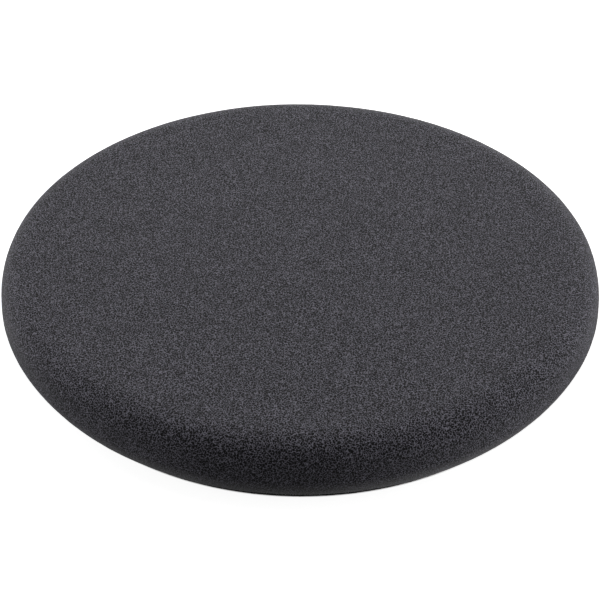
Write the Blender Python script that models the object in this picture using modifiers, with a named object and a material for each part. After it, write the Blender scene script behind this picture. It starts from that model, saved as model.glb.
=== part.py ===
"""A round foam polishing pad with a hook-and-loop backing.

The pad lies on its loops, foam side up. The origin is the centre of the loop
face, and +Z points out of the foam's working face. Lengths are in metres.

From the top down, the layers are the foam disc, the adhesive film that bonds
the backing to it, the knitted backing cloth, and the nylon loops that stand
on the cloth and grip a backing plate's hooks.
"""

import math

import bpy

COLLECTION_NAME = "polishing_pad"

# Driving dimensions
PAD_RADIUS = 0.075
PAD_HEIGHT = 0.020
BACKING_RADIUS = 0.0679
PILE_HEIGHT = 0.0006
CLOTH_THICKNESS = 0.0003
FILM_THICKNESS = 0.0002
LAYER_GAP = 0.0003  # kept between solids that touch on the real pad
FILM_INSET = 0.0006  # the film stops just short of the cloth's cut edge

# The foam's rim is two quarter superellipses that meet at the widest line.
# Depth runs in from the widest line to the flat face. A fullness of 2 is a
# plain ellipse, more is squarer, and less is nearer a bevel.
UPPER_RIM_DEPTH = 0.0091
UPPER_RIM_HEIGHT = 0.0097
UPPER_RIM_FULLNESS = 2.9
LOWER_RIM_DEPTH = 0.0062
LOWER_RIM_FULLNESS = 1.4

# Fineness of the round surfaces
TURN_STEPS = 96
RIM_QUARTER_SEGMENTS = 9
PILE_TIP_ROUNDING = 0.0002
CLOTH_EDGE_ROUNDING = 0.0001
SHARP_ANGLE = math.radians(50)
MERGE_DISTANCE = 0.00001

# Heights of the layers, from the floor up
CLOTH_BOTTOM = PILE_HEIGHT + LAYER_GAP
FILM_BOTTOM = CLOTH_BOTTOM + CLOTH_THICKNESS + LAYER_GAP
FOAM_BOTTOM = FILM_BOTTOM + FILM_THICKNESS + LAYER_GAP
FOAM_THICKNESS = PAD_HEIGHT - FOAM_BOTTOM
WIDEST_LINE = FOAM_THICKNESS - UPPER_RIM_HEIGHT  # above the foam's underside


def remove_all_objects():
    for obj in list(bpy.data.objects):
        bpy.data.objects.remove(obj, do_unlink=True)


def make_collection(name):
    collection = bpy.data.collections.new(name)
    bpy.context.scene.collection.children.link(collection)
    return collection


def make_material(name, colour, roughness):
    material = bpy.data.materials.new(name)
    material.use_nodes = True
    shader = material.node_tree.nodes["Principled BSDF"]
    shader.inputs["Base Color"].default_value = (*colour, 1.0)
    shader.inputs["Roughness"].default_value = roughness
    shader.inputs["Metallic"].default_value = 0.0
    return material


def move_to(collection, obj):
    for other in list(obj.users_collection):
        other.objects.unlink(obj)
    collection.objects.link(obj)


def rim_quarter(depth, height, fullness):
    """A quarter of the rim as (radius, height from the widest line) points,
    from the edge of the flat face to the widest line."""
    points = []
    for step in range(RIM_QUARTER_SEGMENTS + 1):
        turn = math.pi / 2 * step / RIM_QUARTER_SEGMENTS
        across = math.sin(turn) ** (2 / fullness)
        away = max(math.cos(turn), 0.0) ** (2 / fullness)
        points.append((PAD_RADIUS - depth * (1 - across), height * away))
    return points


def foam_outline():
    """The foam's section as (radius, height) points above its underside, from
    the top's centre, round the rim, to the underside's centre."""
    upper = rim_quarter(UPPER_RIM_DEPTH, UPPER_RIM_HEIGHT, UPPER_RIM_FULLNESS)
    lower = rim_quarter(LOWER_RIM_DEPTH, WIDEST_LINE, LOWER_RIM_FULLNESS)
    points = [(0.0, FOAM_THICKNESS)]
    points += [(radius, WIDEST_LINE + rise) for radius, rise in upper]
    points += [(radius, WIDEST_LINE - drop) for radius, drop in reversed(lower[:-1])]
    points.append((0.0, 0.0))
    return points


def make_foam_disc(collection):
    """The working foam: flat on both faces, with a rounded rim."""
    points = foam_outline()
    mesh = bpy.data.meshes.new("foam_disc")
    vertices = [(radius, 0.0, height) for radius, height in points]
    edges = [(i, i + 1) for i in range(len(points) - 1)]
    mesh.from_pydata(vertices, edges, [])
    mesh.materials.append(make_material("open_cell_foam", (0.061, 0.059, 0.068), 0.95))

    disc = bpy.data.objects.new("foam_disc", mesh)
    disc.location.z = FOAM_BOTTOM
    collection.objects.link(disc)

    screw = disc.modifiers.new("turn", "SCREW")
    screw.axis = "Z"
    screw.angle = math.tau
    screw.steps = TURN_STEPS
    screw.render_steps = TURN_STEPS
    screw.use_merge_vertices = True
    screw.merge_threshold = MERGE_DISTANCE
    screw.use_smooth_shade = True
    return disc


def make_round_layer(collection, name, radius, thickness, bottom, material, rounding=0.0):
    """A thin disc about the pad's axis, with its edges rounded if asked."""
    bpy.ops.mesh.primitive_cylinder_add(
        vertices=TURN_STEPS,
        radius=radius,
        depth=thickness,
        location=(0.0, 0.0, bottom + thickness / 2),
    )
    layer = bpy.context.active_object
    layer.name = name
    layer.data.name = name
    layer.data.materials.append(material)
    layer.data.shade_smooth()
    layer.data.set_sharp_from_angle(angle=SHARP_ANGLE)
    if rounding:
        bevel = layer.modifiers.new("rounded_edge", "BEVEL")
        bevel.width = rounding
        bevel.segments = 3
        bevel.limit_method = "ANGLE"
        bevel.angle_limit = SHARP_ANGLE
    move_to(collection, layer)
    return layer


def make_adhesive_film(collection):
    """The hot-melt film that bonds the backing cloth to the foam."""
    material = make_material("hot_melt_film", (0.030, 0.029, 0.031), 0.45)
    return make_round_layer(
        collection,
        "adhesive_film",
        BACKING_RADIUS - FILM_INSET,
        FILM_THICKNESS,
        FILM_BOTTOM,
        material,
    )


def make_backing_cloth(collection):
    """The knitted ground cloth, cut as a disc with a fused edge."""
    material = make_material("knitted_cloth", (0.018, 0.018, 0.020), 0.85)
    return make_round_layer(
        collection,
        "backing_cloth",
        BACKING_RADIUS,
        CLOTH_THICKNESS,
        CLOTH_BOTTOM,
        material,
        CLOTH_EDGE_ROUNDING,
    )


def make_loop_pile(collection):
    """The nylon loops, as the disc that their tips and outer row fill."""
    material = make_material("nylon_loops", (0.022, 0.022, 0.024), 0.70)
    return make_round_layer(
        collection,
        "loop_pile",
        BACKING_RADIUS,
        PILE_HEIGHT,
        0.0,
        material,
        PILE_TIP_ROUNDING,
    )


def main():
    remove_all_objects()
    collection = make_collection(COLLECTION_NAME)
    make_foam_disc(collection)
    make_adhesive_film(collection)
    make_backing_cloth(collection)
    make_loop_pile(collection)


main()
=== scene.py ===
"""The looks of a round foam polishing pad with a loop backing.

The pad lies foam side up on a white floor under soft studio light. Every piece is
built here in place of its plain CAD solid and stays in that solid's space.
Lengths are in metres, in the CAD model's frame.
"""

import math
import random

import bpy
import numpy as np
from mathutils import Matrix, Vector, noise


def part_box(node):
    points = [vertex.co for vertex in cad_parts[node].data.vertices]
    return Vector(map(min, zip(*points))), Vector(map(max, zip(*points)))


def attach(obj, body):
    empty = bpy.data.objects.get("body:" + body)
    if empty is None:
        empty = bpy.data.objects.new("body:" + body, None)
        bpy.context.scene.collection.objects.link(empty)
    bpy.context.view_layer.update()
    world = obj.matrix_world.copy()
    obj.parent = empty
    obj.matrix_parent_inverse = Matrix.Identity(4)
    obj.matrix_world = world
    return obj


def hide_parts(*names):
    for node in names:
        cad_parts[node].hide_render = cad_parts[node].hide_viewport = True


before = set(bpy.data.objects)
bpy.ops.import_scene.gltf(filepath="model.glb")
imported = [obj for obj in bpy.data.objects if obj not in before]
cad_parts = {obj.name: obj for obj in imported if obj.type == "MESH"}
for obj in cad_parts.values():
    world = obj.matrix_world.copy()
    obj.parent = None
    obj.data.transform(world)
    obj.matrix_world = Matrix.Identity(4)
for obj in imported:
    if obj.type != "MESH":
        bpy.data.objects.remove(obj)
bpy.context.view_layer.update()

MM = 0.001

# The boxes of the CAD solids that the pieces stand for
FOAM_LOW, FOAM_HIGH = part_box("foam_disc")
_, FILM_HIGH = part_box("adhesive_film")
CLOTH_LOW, CLOTH_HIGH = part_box("backing_cloth")
PAD_RADIUS = FOAM_HIGH.x
BACKING_RADIUS = CLOTH_HIGH.x
PAD_MIDDLE = FOAM_HIGH.z / 2

# The foam's rim is two quarter superellipses that meet at the widest line.
# Depth runs in from there to the flat face, and a fullness of 2 is an ellipse.
UPPER_RIM_DEPTH = 9.1 * MM
UPPER_RIM_HEIGHT = 9.7 * MM
UPPER_RIM_FULLNESS = 2.9
LOWER_RIM_DEPTH = 6.2 * MM
LOWER_RIM_FULLNESS = 1.4
WIDEST_LINE = FOAM_HIGH.z - UPPER_RIM_HEIGHT
LOWER_RIM_HEIGHT = WIDEST_LINE - FOAM_LOW.z

# Fineness of the meshes
FOAM_SPACING = 0.51 * MM
KNIT_SPACING = 0.56 * MM
RIM_SAMPLES = 400  # steps that a rim's length is summed in
EDGE_ROWS = 8  # rows of faces round a half-round edge

# The bonded layers all but touch, and the cloth is thicker than its CAD solid
BOND_GAP = 0.01 * MM
CLOTH_SWELL = 0.20 * MM

# The backing's hot-cut edge is pressed out a little past its cut
EDGE_RADIUS = BACKING_RADIUS + 0.10 * MM


# --- meshes made of rings about the pad's axis ---


def stitch(start_a, count_a, start_b, count_b):
    """Triangles between two rings, listed counter-clockwise seen from above.
    The first ring is nearer the top's centre along the surface."""
    if count_a == 1:
        return [(start_a, start_b + j, start_b + (j + 1) % count_b) for j in range(count_b)]
    if count_b == 1:
        return [(start_a + i, start_b, start_a + (i + 1) % count_a) for i in range(count_a)]
    triangles = []
    i = j = 0
    while i < count_a or j < count_b:
        a, b = start_a + i % count_a, start_b + j % count_b
        if j < count_b and (i >= count_a or (j + 1) * count_a <= (i + 1) * count_b):
            triangles.append((a, b, start_b + (j + 1) % count_b))
            j += 1
        else:
            triangles.append((a, b, start_a + (i + 1) % count_a))
            i += 1
    return triangles


def lathe(name, rings, move):
    """A closed mesh from (radius, height, count) rings, run from the top's
    centre round the rim to the underside's centre. move(point) gives where
    each point goes."""
    points, triangles, starts = [], [], []
    for radius, height, count in rings:
        starts.append(len(points))
        for k in range(count):
            turn = math.tau * k / count
            point = Vector((radius * math.cos(turn), radius * math.sin(turn), height))
            points.append(move(point))
    for k in range(len(rings) - 1):
        triangles += stitch(starts[k], rings[k][2], starts[k + 1], rings[k + 1][2])
    mesh = bpy.data.meshes.new(name)
    mesh.from_pydata(points, [], triangles)
    mesh.shade_smooth()
    piece = bpy.data.objects.new(name, mesh)
    bpy.context.scene.collection.objects.link(piece)
    return piece


def flat_rings(radius, height, spacing, outward):
    """Rings of an evenly meshed flat disc, with six more points each time."""
    steps = max(1, round(radius / spacing))
    rings = [(0.0, height, 1)]
    rings += [(radius * k / steps, height, 6 * k) for k in range(1, steps + 1)]
    return rings if outward else rings[::-1]


def hidden_rings(radius, height, count):
    """A few rings that close a face no one sees, from the rim to the centre."""
    return [
        (radius * 0.97, height, count // 2),
        (radius * 0.85, height, count // 6),
        (radius * 0.5, height, count // 24),
        (0.0, height, 1),
    ]


def layered_noise(point, wavelength, seed):
    """Smooth noise, about -1 to 1, with one finer octave."""
    place = point / wavelength + Vector((seed, -seed, 2.0 * seed))
    return noise.noise(place) + 0.5 * noise.noise(place * 2.1)


# --- the pieces ---


def rim_quarter(depth, height, fullness):
    """A quarter of the foam's rim as (radius, height from the widest line),
    evenly spaced from the edge of the flat face to the widest line."""
    turns = np.linspace(0.0, math.pi / 2, RIM_SAMPLES)
    radii = PAD_RADIUS - depth * (1 - np.sin(turns) ** (2 / fullness))
    heights = height * np.maximum(np.cos(turns), 0.0) ** (2 / fullness)
    lengths = np.concatenate([[0.0], np.cumsum(np.hypot(np.diff(radii), np.diff(heights)))])
    places = np.linspace(0.0, lengths[-1], round(lengths[-1] / FOAM_SPACING) + 1)
    radii = np.interp(places, lengths, radii)
    heights = np.interp(places, lengths, heights)
    return list(zip(radii, heights, strict=True))


def foam_normal(point):
    """The way the foam's smooth surface faces at a point on it."""
    across = math.hypot(point.x, point.y)
    above = point.z >= WIDEST_LINE
    depth = UPPER_RIM_DEPTH if above else LOWER_RIM_DEPTH
    height = UPPER_RIM_HEIGHT if above else LOWER_RIM_HEIGHT
    fullness = UPPER_RIM_FULLNESS if above else LOWER_RIM_FULLNESS
    inset = (across - (PAD_RADIUS - depth)) / depth
    if inset <= 0.0:
        return Vector((0.0, 0.0, 1.0 if above else -1.0))
    out = inset ** (fullness - 1) / depth
    up = (abs(point.z - WIDEST_LINE) / height) ** (fullness - 1) / height
    normal = Vector((out * point.x / across, out * point.y / across, up if above else -up))
    return normal.normalized()


# How uneven sliced and ground foam is, as (height, wavelength, seed): a slow
# unevenness, clusters of cells, and the cells as far as the mesh can hold them
FOAM_RELIEF = (
    (0.05 * MM, 26 * MM, 3.0),
    (0.020 * MM, 3.4 * MM, 7.0),
    (0.022 * MM, 1.15 * MM, 11.0),
)
BONDED_HEIGHT = 0.5 * MM  # the foam is left smooth this far above its underside


def foam_relief(point):
    """Moves a point of the foam's surface in or out by the relief."""
    if point.z <= FOAM_LOW.z + BONDED_HEIGHT:
        return point
    rise = sum(height * layered_noise(point, length, seed) for height, length, seed in FOAM_RELIEF)
    return point + foam_normal(point) * rise


def make_foam():
    """The foam disc: flat on both faces, with a rounded rim."""
    upper = rim_quarter(UPPER_RIM_DEPTH, UPPER_RIM_HEIGHT, UPPER_RIM_FULLNESS)
    lower = rim_quarter(LOWER_RIM_DEPTH, LOWER_RIM_HEIGHT, LOWER_RIM_FULLNESS)
    rings = flat_rings(PAD_RADIUS - UPPER_RIM_DEPTH, FOAM_HIGH.z, FOAM_SPACING, outward=True)
    count = rings[-1][2]
    rings += [(radius, WIDEST_LINE + rise, count) for radius, rise in upper[1:]]
    rings += [(radius, WIDEST_LINE - drop, count) for radius, drop in lower[-2::-1]]
    rings += hidden_rings(PAD_RADIUS - LOWER_RIM_DEPTH, FOAM_LOW.z, count)
    return lathe("polishing_foam", rings, foam_relief)


def round_edge(radius, low, high, count):
    """Rings of a half-round edge, from its top to its underside."""
    half = (high - low) / 2
    rings = []
    for row in range(EDGE_ROWS + 1):
        turn = math.pi * row / EDGE_ROWS
        across = radius - half * (1 - math.sin(turn))
        rings.append((across, low + half + half * math.cos(turn), count))
    return rings


def push_out(point, distance):
    """The point moved away from the pad's axis."""
    share = 1 + distance / math.hypot(point.x, point.y)
    return Vector((point.x * share, point.y * share, point.z))


FILM_EDGE_POINTS = 720
FILM_SQUEEZE = 0.30 * MM
FILM_SQUEEZE_LENGTH = 5 * MM


def make_film():
    """Hot-melt film, with a little squeezed out round its edge."""
    low, high = CLOTH_HIGH.z + CLOTH_SWELL + BOND_GAP, FOAM_LOW.z - BOND_GAP
    radius = FILM_HIGH.x
    rings = [(0.0, high, 1), (radius * 0.5, high, 60), (radius * 0.9, high, 240)]
    rings += round_edge(radius, low, high, FILM_EDGE_POINTS)
    rings += [(radius * 0.9, low, 240), (radius * 0.5, low, 60), (0.0, low, 1)]

    def squeeze(point):
        if math.hypot(point.x, point.y) < radius * 0.95:
            return point
        level = Vector((point.x, point.y, 0.0))
        return push_out(point, FILM_SQUEEZE * layered_noise(level, FILM_SQUEEZE_LENGTH, 5.0))

    return lathe("hot_melt_film", rings, squeeze)


WALE_SPACING = 1.5 * MM
WALE_HEIGHT = 0.05 * MM
COURSE_SPACING = 1.1 * MM
COURSE_HEIGHT = 0.035 * MM
COURSE_LEAN = 0.25 * MM
YARN_UNEVENNESS = 0.02 * MM
YARN_LENGTH = 1.4 * MM


def knit_height(point):
    """The ground cloth's ribs: wales along Y crossed by rows of stitches."""
    wale = math.cos(math.tau * point.x / WALE_SPACING)
    course = math.cos(math.tau * (point.y + COURSE_LEAN * wale) / COURSE_SPACING)
    uneven = layered_noise(point, YARN_LENGTH, 17.0)
    return WALE_HEIGHT * wale + COURSE_HEIGHT * course + YARN_UNEVENNESS * uneven


CLOTH_SAG = 0.10 * MM  # how far the knit lies below the CAD cloth
BEAD_HANG = 0.30 * MM  # how far the bead hangs below the knit
BEAD_UNEVENNESS = 0.07 * MM
BEAD_LENGTH = 1.1 * MM
KNIT_RAISE = 0.08 * MM


def make_cloth():
    """Knitted ground cloth, cut with a hot knife that fused its edge to a
    small bead, which hangs a little lower than the cloth."""
    low, high = CLOTH_LOW.z - CLOTH_SAG, CLOTH_HIGH.z + CLOTH_SWELL
    bead_low = low - BEAD_HANG
    bead = (high - bead_low) / 2
    neck = EDGE_RADIUS - 2.4 * bead
    under = flat_rings(neck, low, KNIT_SPACING, outward=False)
    count = under[0][2]
    rings = hidden_rings(EDGE_RADIUS - bead, high, count)[::-1]
    rings += round_edge(EDGE_RADIUS, bead_low, high, count)
    rings.append((EDGE_RADIUS - 1.6 * bead, bead_low + 0.08 * MM, count))
    rings.append((EDGE_RADIUS - 2.1 * bead, low - 0.05 * MM, count))
    rings += under

    def knit(point):
        if math.hypot(point.x, point.y) > neck + 0.1 * MM:
            return push_out(point, BEAD_UNEVENNESS * layered_noise(point, BEAD_LENGTH, 23.0))
        if point.z > low + 0.1 * MM:
            return point
        return point - Vector((0.0, 0.0, knit_height(point) - KNIT_RAISE))

    return lathe("knitted_cloth", rings, knit)


LOOP_SEED = 41
LOOP_SPACING = 1.76 * MM
LOOP_ROW_SPACING = LOOP_SPACING * math.sqrt(0.75)
LOOP_INSET = 0.75 * MM  # from the cloth's edge to the outermost loops of the field
FRINGE_SPACING = 0.56 * MM
LOOP_SIDES = 3
LOOP_SEGMENTS = 5
YARN_RADIUS = 0.13 * MM
LOOP_ROOT = CLOTH_LOW.z + 0.12 * MM


def loop_centres(randoms, reach):
    """Places of the loops: offset rows, each place moved a little."""
    centres = []
    rows = int(reach / LOOP_ROW_SPACING)
    for row in range(-rows, rows + 1):
        y = row * LOOP_ROW_SPACING
        half_width = math.sqrt(max(reach**2 - y**2, 0.0))
        columns = int(half_width / LOOP_SPACING) + 1
        for column in range(-columns, columns + 1):
            x = (column + 0.5 * (row % 2)) * LOOP_SPACING
            x += randoms.uniform(-0.3, 0.3) * LOOP_SPACING
            jittered = y + randoms.uniform(-0.3, 0.3) * LOOP_SPACING
            if math.hypot(x, jittered) <= reach:
                centres.append((x, jittered))
    return centres


def bend_loop(points, triangles, centre, along, width, tip, lean):
    """Adds one loop: yarn that leaves the cloth, turns at its tip and goes
    back in. width is half the distance between its feet, and tip its height."""
    side = Vector((-along.y, along.x, 0.0))
    start = len(points)
    for step in range(LOOP_SEGMENTS + 1):
        angle = math.pi * step / LOOP_SEGMENTS
        drop = math.sin(angle)
        middle = Vector((*centre, LOOP_ROOT + (tip - LOOP_ROOT) * drop**0.75))
        middle += along * width * math.cos(angle) * (1.0 + 0.25 * drop) + lean * drop
        outward = Vector((0.0, 0.0, -1.0)) * drop + along * math.cos(angle)
        for corner in range(LOOP_SIDES):
            phase = math.tau * corner / LOOP_SIDES
            points.append(middle + (outward * math.cos(phase) + side * math.sin(phase)) * YARN_RADIUS)
    for step in range(LOOP_SEGMENTS):
        for corner in range(LOOP_SIDES):
            a = start + step * LOOP_SIDES + corner
            b = start + step * LOOP_SIDES + (corner + 1) % LOOP_SIDES
            triangles.append((a, b, b + LOOP_SIDES))
            triangles.append((a, b + LOOP_SIDES, a + LOOP_SIDES))
    last = start + LOOP_SEGMENTS * LOOP_SIDES
    triangles.append((start + 2, start + 1, start))
    triangles.append((last, last + 1, last + 2))


def make_loops():
    """Nylon loops that hang from the cloth, close together at its cut edge."""
    randoms = random.Random(LOOP_SEED)
    points, triangles = [], []
    for centre in loop_centres(randoms, BACKING_RADIUS - LOOP_INSET):
        turn = randoms.gauss(math.pi / 2, 0.55)
        along = Vector((math.cos(turn), math.sin(turn), 0.0))
        side = Vector((-along.y, along.x, 0.0))
        lean = side * randoms.gauss(0.0, 0.28) * MM + along * randoms.gauss(0.0, 0.15) * MM
        width = randoms.uniform(0.45, 0.75) * MM
        bend_loop(points, triangles, centre, along, width, randoms.uniform(0.16, 0.42) * MM, lean)
    fringe = round(math.tau * BACKING_RADIUS / FRINGE_SPACING)
    for place in range(fringe):
        turn = math.tau * (place + randoms.uniform(-0.25, 0.25)) / fringe
        out = Vector((math.cos(turn), math.sin(turn), 0.0))
        centre = out.xy * (EDGE_RADIUS - randoms.uniform(0.20, 0.30) * MM)
        along = Vector((-out.y, out.x, 0.0))
        lean = out * randoms.uniform(0.0, 0.16) * MM
        width = randoms.uniform(0.36, 0.52) * MM
        bend_loop(points, triangles, centre, along, width, randoms.uniform(0.15, 0.22) * MM, lean)
    mesh = bpy.data.meshes.new("nylon_loops")
    mesh.from_pydata(points, [], triangles)
    mesh.shade_smooth()
    piece = bpy.data.objects.new("nylon_loops", mesh)
    bpy.context.scene.collection.objects.link(piece)
    return piece


# --- materials ---


class Nodes:
    """A material's node tree, with short calls that add and join nodes."""

    def __init__(self, name):
        self.material = bpy.data.materials.new(name)
        self.material.use_nodes = True
        self.tree = self.material.node_tree
        self.shader = self.tree.nodes["Principled BSDF"]
        coordinates = self.tree.nodes.new("ShaderNodeTexCoord")
        self.place = coordinates.outputs["Object"]

    def join(self, source, target):
        self.tree.links.new(source, target)

    def fill(self, socket, value):
        if isinstance(value, bpy.types.NodeSocket):
            self.join(value, socket)
        else:
            socket.default_value = value

    def math(self, operation, a, b):
        node = self.tree.nodes.new("ShaderNodeMath")
        node.operation = operation
        self.fill(node.inputs[0], a)
        self.fill(node.inputs[1], b)
        return node.outputs[0]

    def vector(self, operation, a, b=None, scale=None):
        node = self.tree.nodes.new("ShaderNodeVectorMath")
        node.operation = operation
        self.fill(node.inputs[0], a)
        if b is not None:
            self.fill(node.inputs[1], b)
        if scale is not None:
            self.fill(node.inputs["Scale"], scale)
        return node.outputs[0]

    def turn(self, place, axis, angle):
        """The same places in axes that are turned, so that no flat face of
        the object lines up with the grid that a texture is built on."""
        node = self.tree.nodes.new("ShaderNodeVectorRotate")
        node.inputs["Axis"].default_value = axis
        node.inputs["Angle"].default_value = angle
        self.join(place, node.inputs["Vector"])
        return node.outputs["Vector"]

    def noise(self, size, detail, place=None):
        """Noise whose lumps are about size metres across: (value, colour)."""
        node = self.tree.nodes.new("ShaderNodeTexNoise")
        node.inputs["Scale"].default_value = 1.0 / size
        node.inputs["Detail"].default_value = detail
        self.join(place or self.place, node.inputs["Vector"])
        return node.outputs["Fac"], node.outputs["Color"]

    def cells(self, size, feature="F1", place=None):
        node = self.tree.nodes.new("ShaderNodeTexVoronoi")
        node.feature = feature
        node.inputs["Scale"].default_value = 1.0 / size
        self.join(place or self.place, node.inputs["Vector"])
        return node.outputs

    def span(self, value, low, high, to_low=0.0, to_high=1.0, smooth=False):
        node = self.tree.nodes.new("ShaderNodeMapRange")
        node.interpolation_type = "SMOOTHSTEP" if smooth else "LINEAR"
        self.join(value, node.inputs["Value"])
        node.inputs["From Min"].default_value = low
        node.inputs["From Max"].default_value = high
        node.inputs["To Min"].default_value = to_low
        node.inputs["To Max"].default_value = to_high
        return node.outputs["Result"]

    def ramp(self, value, stops):
        node = self.tree.nodes.new("ShaderNodeValToRGB")
        elements = node.color_ramp.elements
        while len(elements) < len(stops):
            elements.new(0.5)
        for element, (position, colour) in zip(elements, stops, strict=True):
            element.position = position
            element.color = (*colour, 1.0)
        self.join(value, node.inputs["Fac"])
        return node.outputs["Color"]

    def mix(self, share, a, b):
        node = self.tree.nodes.new("ShaderNodeMix")
        node.data_type = "RGBA"
        self.fill(node.inputs[0], share)
        self.fill(node.inputs[6], a if isinstance(a, bpy.types.NodeSocket) else (*a, 1.0))
        self.fill(node.inputs[7], b if isinstance(b, bpy.types.NodeSocket) else (*b, 1.0))
        return node.outputs[2]

    def bump(self, height, distance, strength):
        node = self.tree.nodes.new("ShaderNodeBump")
        node.inputs["Strength"].default_value = strength
        node.inputs["Distance"].default_value = distance
        self.join(height, node.inputs["Height"])
        return node.outputs["Normal"]

    def put(self, name, value):
        self.fill(self.shader.inputs[name], value)


# The foam's colour and bump follow one height, which is made of the struts
# between its cells and of finer strands. The struts' grey is the foam's own
# colour. Below the pit height the colour falls to near-black, which is painted
# shade in the cells' hollows.
STRUT_COLOUR = (0.257, 0.248, 0.300)
FOAM_CELL = 0.62 * MM
FOAM_STRAND = 0.27 * MM
STRUT_SHARE = 0.5
STRAND_SHARE = 1.35
PIT_SHADE_HEIGHT = 0.86
STRUT_HEIGHT = 1.27
STRUT_SHARPNESS = 2.2
FOAM_BUMP = 0.045 * MM
SPECK_COLOUR = (0.30, 0.30, 0.33)
TEXTURE_AXIS = (0.8, 0.5, 0.33)
TEXTURE_TURN = 0.9


def foam_material():
    """Charcoal open-cell foam: lighter struts of the foam's own colour, with the pits between them
    painted near-black as the shade inside the cells' hollows.
    """
    n = Nodes("charcoal_foam")
    place = n.turn(n.place, TEXTURE_AXIS, TEXTURE_TURN)
    _, wobble = n.noise(0.9 * MM, 2.0, place)
    wobble = n.vector("SUBTRACT", wobble, (0.5, 0.5, 0.5))
    warped = n.vector("ADD", place, n.vector("SCALE", wobble, scale=0.30 * MM))
    edges = n.cells(FOAM_CELL, "DISTANCE_TO_EDGE", warped)["Distance"]
    strut = n.span(edges, 0.0, 0.34, 1.0, 0.0, smooth=True)
    strand, _ = n.noise(FOAM_STRAND, 1.0, place)
    strut = n.math("MULTIPLY", strut, STRUT_SHARE)
    height = n.math("ADD", strut, n.math("MULTIPLY", strand, STRAND_SHARE))
    # painted shade: the colour falls to near-black in the pits between the struts, where the cells'
    # hollows lie in shade
    shade = n.math("POWER", n.span(height, PIT_SHADE_HEIGHT, STRUT_HEIGHT), STRUT_SHARPNESS)
    mottle, _ = n.noise(9 * MM, 3.0)
    shade = n.math("MULTIPLY", shade, n.span(mottle, 0.3, 0.7, 0.94, 1.06))
    specks = n.cells(4.6 * MM)["Distance"]
    speck = n.span(specks, 0.020, 0.034, 1.0, 0.0)
    colour = n.vector("SCALE", STRUT_COLOUR, scale=shade)
    colour = n.mix(n.math("MULTIPLY", speck, 0.5), colour, SPECK_COLOUR)
    n.put("Base Color", colour)
    n.put("Roughness", n.span(height, 0.4, 1.2, 1.0, 0.85))
    n.put("Normal", n.bump(height, FOAM_BUMP, 0.8))
    n.put("Specular IOR Level", 0.25)
    n.put("Sheen Weight", 0.30)
    n.put("Sheen Roughness", 0.45)
    return n.material


def film_material():
    """Black hot-melt film: satin, with flow marks and small bubbles."""
    n = Nodes("black_hot_melt")
    flow, _ = n.noise(3.0 * MM, 3.0)
    bubbles = n.cells(0.8 * MM)["Distance"]
    bubble = n.span(bubbles, 0.15, 0.35, 1.0, 0.0, smooth=True)
    n.put("Base Color", n.ramp(flow, [(0.3, (0.020, 0.019, 0.021)), (0.7, (0.040, 0.039, 0.042))]))
    n.put("Roughness", n.span(flow, 0.3, 0.7, 0.35, 0.6))
    n.put("Normal", n.bump(n.math("ADD", flow, n.math("MULTIPLY", bubble, 0.4)), 0.08 * MM, 0.6))
    return n.material


def cloth_material():
    """Black knitted polyester, with fine filaments along each wale."""
    n = Nodes("black_knit")
    stretched = n.vector("MULTIPLY", n.place, (1.0, 0.18, 1.0))
    filament, _ = n.noise(0.10 * MM, 2.0, stretched)
    fuzz, _ = n.noise(0.30 * MM, 3.0)
    wear, _ = n.noise(14 * MM, 2.0)
    height = n.math("ADD", n.math("MULTIPLY", filament, 0.6), n.math("MULTIPLY", fuzz, 0.4))
    colour = n.ramp(height, [(0.3, (0.006, 0.006, 0.007)), (0.75, (0.026, 0.026, 0.029))])
    colour = n.vector("SCALE", colour, scale=n.span(wear, 0.3, 0.7, 0.85, 1.15))
    n.put("Base Color", colour)
    n.put("Roughness", n.span(height, 0.3, 0.8, 0.95, 0.7))
    n.put("Normal", n.bump(height, 0.08 * MM, 0.7))
    n.put("Specular IOR Level", 0.35)
    n.put("Sheen Weight", 0.06)
    n.put("Sheen Roughness", 0.4)
    return n.material


def loop_material():
    """Black nylon yarn: a soft shine, and a twist of fine filaments."""
    n = Nodes("black_nylon_yarn")
    filament, _ = n.noise(0.07 * MM, 2.0)
    tone, _ = n.noise(2.2 * MM, 2.0)
    colour = n.ramp(tone, [(0.25, (0.008, 0.008, 0.009)), (0.8, (0.028, 0.028, 0.030))])
    n.put("Base Color", colour)
    n.put("Roughness", n.span(filament, 0.3, 0.7, 0.45, 0.7))
    n.put("Normal", n.bump(filament, 0.04 * MM, 0.6))
    n.put("Specular IOR Level", 0.4)
    n.put("Sheen Weight", 0.08)
    n.put("Sheen Roughness", 0.35)
    return n.material


FLOOR_SIZE = 8.0
FLOOR_DROP = 0.02 * MM
FLOOR_GLOW = 0.90
GLOW_START = EDGE_RADIUS - 0.3 * MM
GLOW_FULL = EDGE_RADIUS + 0.1 * MM


def floor_material():
    """A white matt floor. It looks white but sends little light back up, so
    that the pad's front stays in shade. Its glow is only for the camera: it
    thins the pad's shadow, and stops at the edge of the backing."""
    n = Nodes("white_floor")
    n.shader.inputs["Specular IOR Level"].default_value = 0.0
    n.shader.inputs["Emission Color"].default_value = (1.0, 1.0, 1.0, 1.0)
    tone, _ = n.noise(0.3, 2.0)
    seen = n.ramp(tone, [(0.3, (0.93, 0.93, 0.93)), (0.7, (0.95, 0.95, 0.95))])
    camera_ray = n.tree.nodes.new("ShaderNodeLightPath").outputs["Is Camera Ray"]
    n.put("Base Color", n.mix(camera_ray, (0.30, 0.30, 0.30), seen))
    n.put("Roughness", 0.9)
    across = n.tree.nodes.new("ShaderNodeVectorMath")
    across.operation = "LENGTH"
    n.join(n.place, across.inputs[0])
    clear = n.span(across.outputs["Value"], GLOW_START, GLOW_FULL)
    glow = n.math("MULTIPLY", clear, FLOOR_GLOW)
    n.put("Emission Strength", n.math("MULTIPLY", glow, camera_ray))
    return n.material


# --- stage ---

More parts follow.
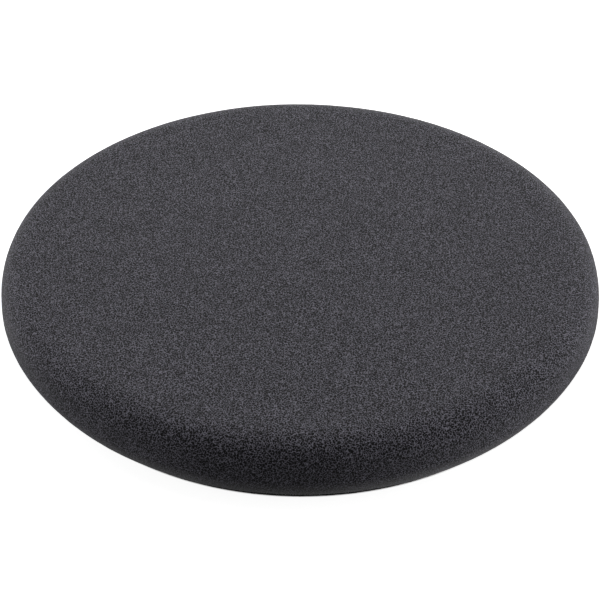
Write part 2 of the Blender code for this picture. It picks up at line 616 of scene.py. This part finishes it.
CAMERA_DISTANCE = 0.5234
CAMERA_ELEVATION = math.radians(36.872)
CAMERA_LENS = 124.03
AIM_BELOW_PAD = math.radians(0.4241)
AIM_RIGHT_OF_PAD = math.radians(-0.0050)
CAMERA_ROLL = math.radians(0.31)


def add_camera():
    data = bpy.data.cameras.new("camera")
    data.lens = CAMERA_LENS
    data.sensor_width = 36.0
    camera = bpy.data.objects.new("camera", data)
    back = Vector((0.0, -math.cos(CAMERA_ELEVATION), math.sin(CAMERA_ELEVATION)))
    camera.location = Vector((0.0, 0.0, PAD_MIDDLE)) + back * CAMERA_DISTANCE
    level = Matrix.Rotation(-AIM_RIGHT_OF_PAD, 4, "Z")
    level @= Matrix.Rotation(math.pi / 2 - CAMERA_ELEVATION - AIM_BELOW_PAD, 4, "X")
    level @= Matrix.Rotation(CAMERA_ROLL, 4, "Z")
    camera.rotation_euler = level.to_euler()
    bpy.context.scene.collection.objects.link(camera)
    bpy.context.scene.camera = camera


# name: place, width, height, watts
LIGHTS = {
    "overhead": ((0.0, 0.10, 0.95), 0.80, 0.80, 1.86),
    "back_high": ((0.0, 0.75, 0.80), 1.10, 0.50, 3.19),
    "back_left": ((-0.75, 0.75, 0.40), 0.70, 0.40, 1.99),
    "left": ((-0.85, 0.10, 0.25), 0.70, 0.35, 0.61),
    "left_low": ((-1.0, 0.0, 0.10), 0.80, 0.20, 2.11),
    "right": ((0.85, 0.10, 0.25), 0.70, 0.35, 0.95),
    "right_low": ((1.0, 0.0, 0.10), 0.80, 0.20, 4.47),
}


def add_lights():
    aim = Vector((0.0, 0.0, PAD_MIDDLE))
    for name, (place, width, height, watts) in LIGHTS.items():
        data = bpy.data.lights.new(name, "AREA")
        data.shape = "RECTANGLE"
        data.size = width
        data.size_y = height
        data.energy = watts
        light = bpy.data.objects.new(name, data)
        light.location = place
        light.rotation_euler = (aim - Vector(place)).to_track_quat("-Z", "Y").to_euler()
        bpy.context.scene.collection.objects.link(light)


WORLD_STRENGTH = 0.087


def add_world():
    """A dim white room that looks as white as the floor to the camera."""
    world = bpy.data.worlds.new("studio")
    world.use_nodes = True
    tree = world.node_tree
    background = tree.nodes["Background"]
    background.inputs["Color"].default_value = (1.0, 1.0, 1.0, 1.0)
    strength = tree.nodes.new("ShaderNodeMath")
    strength.operation = "MULTIPLY_ADD"
    strength.inputs[1].default_value = 1.0 - WORLD_STRENGTH
    strength.inputs[2].default_value = WORLD_STRENGTH
    path = tree.nodes.new("ShaderNodeLightPath")
    tree.links.new(path.outputs["Is Camera Ray"], strength.inputs[0])
    tree.links.new(strength.outputs["Value"], background.inputs["Strength"])
    bpy.context.scene.world = world
    bpy.context.scene.view_settings.view_transform = "Standard"


def add_floor():
    bpy.ops.mesh.primitive_plane_add(size=FLOOR_SIZE, location=(0.0, 0.0, -FLOOR_DROP))
    floor = bpy.context.active_object
    floor.name = "floor"
    floor.data.materials.append(floor_material())


# --- the object ---


def dress(piece, material, node):
    piece.data.materials.append(material)
    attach(piece, "root")
    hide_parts(node)


foam = make_foam()
dress(foam, foam_material(), "foam_disc")
film = make_film()
dress(film, film_material(), "adhesive_film")
cloth = make_cloth()
dress(cloth, cloth_material(), "backing_cloth")
loops = make_loops()
dress(loops, loop_material(), "loop_pile")

add_floor()
add_camera()
add_lights()
add_world()
